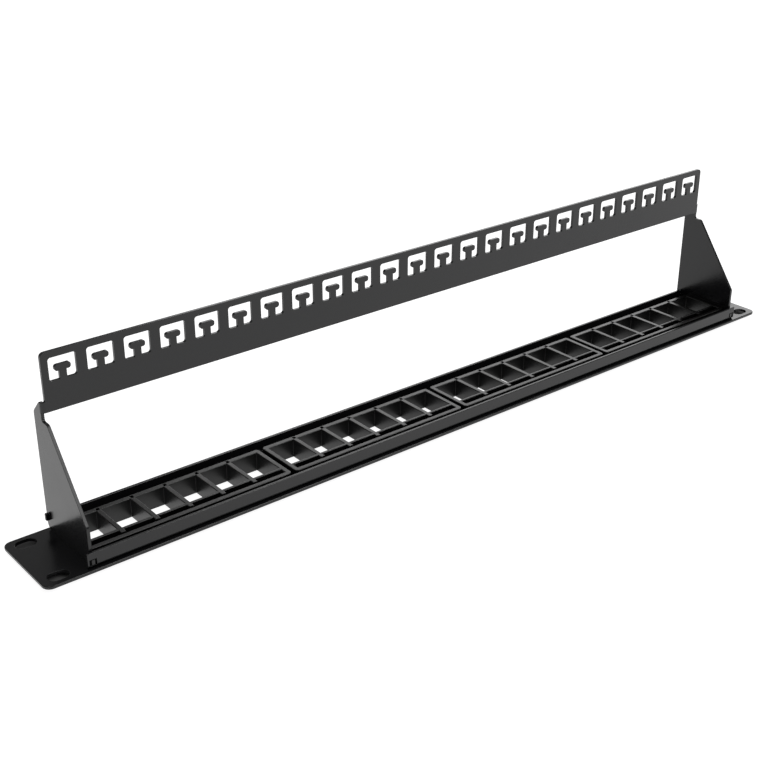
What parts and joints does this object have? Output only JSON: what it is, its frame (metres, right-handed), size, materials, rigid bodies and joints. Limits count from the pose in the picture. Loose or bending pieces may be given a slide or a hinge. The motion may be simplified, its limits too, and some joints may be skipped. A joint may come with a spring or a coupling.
{
  "type": "rack patch panel",
  "caption": "Flat rack panel with slotted ears, a row of open keystone ports in moulded frames, and a rear cable bar with cable-tie slots on two arms.",
  "frame": {"origin": "middle of the plane of the port bezels' fronts, which lie on the surface; the face plate's front is 2 mm above it", "axes": "+X along the panel's length, +Y across its height towards the edge that the cable bar stands near, +Z out of the rear of the panel"},
  "size_m": [0.4826, 0.044, 0.092],
  "materials": {
    "coated_steel": "semi-gloss black powder coat",
    "module_plastic": "satin black moulded plastic"
  },
  "bodies": {
    "root": {"face_plate": "coated_steel", "front_rail": "coated_steel", "back_rail": "coated_steel", "cable_bracket": "coated_steel", "port_module_1": "module_plastic", "port_module_2": "module_plastic", "port_module_3": "module_plastic", "port_module_4": "module_plastic"}
  },
  "joints": []
}
